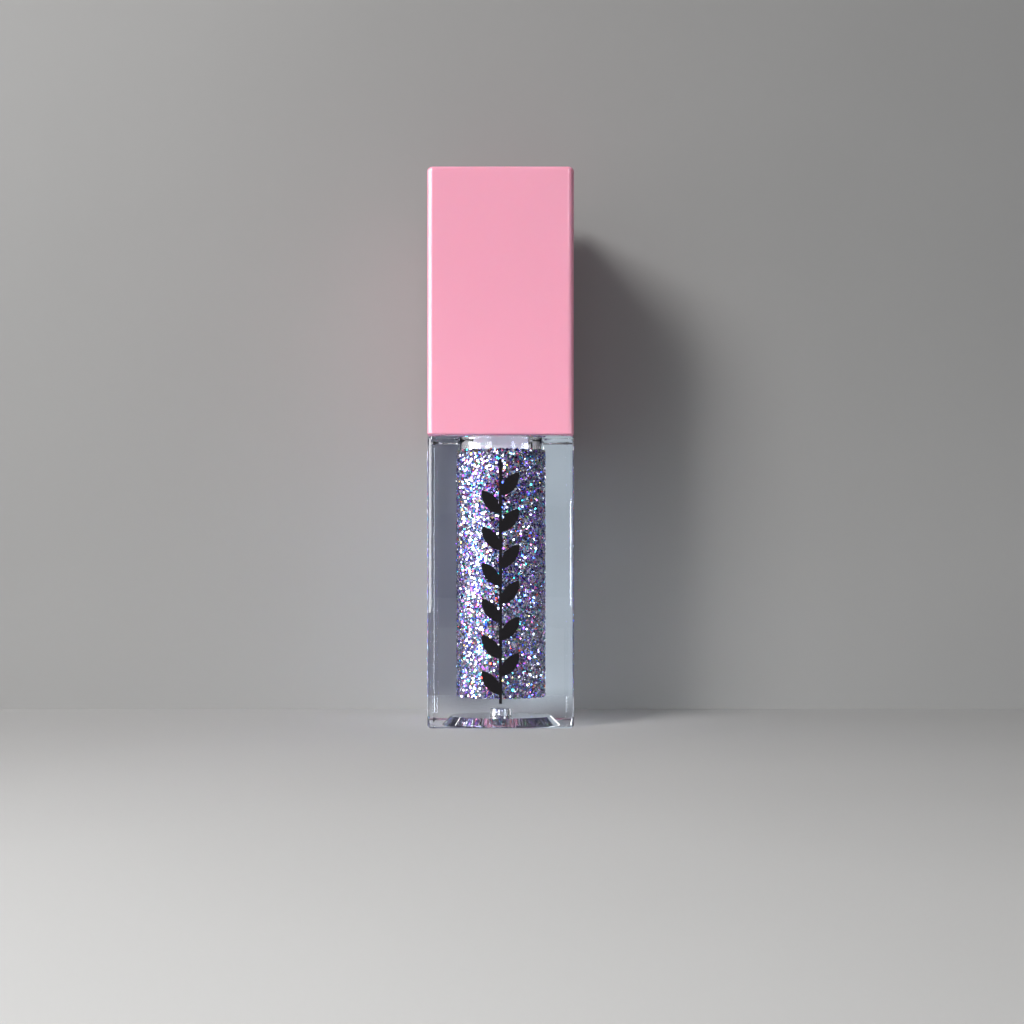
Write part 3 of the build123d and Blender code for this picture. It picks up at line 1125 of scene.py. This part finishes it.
    def surroundings(self, scene):
        """A soft room: paler overhead and to the left, darker low and to the right."""
        world = bpy.data.worlds.new("Soft Room")
        world.use_nodes = True
        tree = world.node_tree
        tree.nodes.clear()
        way = add_node(tree, "ShaderNodeTexCoord").outputs["Generated"]
        parts = add_node(tree, "ShaderNodeSeparateXYZ", {0: way})
        slope = maths(tree, "MULTIPLY", parts.outputs["X"], -0.5)
        lift = maths(tree, "MULTIPLY", parts.outputs["Z"], 0.3)
        place = maths(tree, "ADD", maths(tree, "ADD", slope, lift), 0.5)
        ramp = add_node(tree, "ShaderNodeValToRGB", {"Fac": place})
        ramp.color_ramp.elements[0].color = (0.05, 0.05, 0.07, 1.0)
        ramp.color_ramp.elements[1].color = (0.75, 0.77, 0.82, 1.0)
        glow = add_node(tree, "ShaderNodeBackground", {"Color": ramp.outputs["Color"], "Strength": 0.17})
        add_node(tree, "ShaderNodeOutputWorld", {"Surface": glow.outputs[0]})
        scene.world = world

    def camera(self, scene):
        """A level camera at table height, framed wide with the tube left of the middle."""
        view = bpy.data.cameras.new("Studio Camera")
        view.sensor_width = 36.0
        view.lens = 41.5
        view.shift_y = 0.0605
        view.clip_start = 0.01
        view.clip_end = 10.0
        holder = bpy.data.objects.new("Studio Camera", view)
        holder.location = CAMERA_PLACE
        holder.rotation_euler = (math.pi / 2, 0.0, 0.0)
        scene.collection.objects.link(holder)
        scene.camera = holder


STEPS = (
    GLOSSTUBE_OT_bottle,
    GLOSSTUBE_OT_gloss,
    GLOSSTUBE_OT_cap,
    GLOSSTUBE_OT_wand,
    GLOSSTUBE_OT_stage,
)


class GLOSSTUBE_PT_panel(bpy.types.Panel):
    """Lists the tube's pieces and the values that shape them"""

    bl_label = "Gloss Tube"
    bl_idname = "GLOSSTUBE_PT_panel"
    bl_space_type = "VIEW_3D"
    bl_region_type = "UI"
    bl_category = "Gloss Tube"

    def draw(self, context):
        for step in STEPS:
            self.layout.operator(step.bl_idname)
        scene = context.scene
        for group in (scene.bottle_sizes, scene.gloss_sizes, scene.wand_sizes, scene.tube_colours):
            box = self.layout.box()
            for name in group.__annotations__:
                box.prop(group, name)


GROUPS = (BottleSizes, GlossSizes, WandSizes, TubeColours)


def register():
    for item in (*GROUPS, *STEPS, GLOSSTUBE_PT_panel):
        bpy.utils.register_class(item)
    bpy.types.Scene.bottle_sizes = PointerProperty(type=BottleSizes)
    bpy.types.Scene.gloss_sizes = PointerProperty(type=GlossSizes)
    bpy.types.Scene.wand_sizes = PointerProperty(type=WandSizes)
    bpy.types.Scene.tube_colours = PointerProperty(type=TubeColours)


def unregister():
    del bpy.types.Scene.bottle_sizes
    del bpy.types.Scene.gloss_sizes
    del bpy.types.Scene.wand_sizes
    del bpy.types.Scene.tube_colours
    for item in reversed((*GROUPS, *STEPS, GLOSSTUBE_PT_panel)):
        bpy.utils.unregister_class(item)


def main():
    register()
    bpy.ops.glosstube.bottle()
    bpy.ops.glosstube.gloss()
    bpy.ops.glosstube.cap()
    bpy.ops.glosstube.wand()
    bpy.ops.glosstube.stage()


if __name__ == "__main__":
    main()
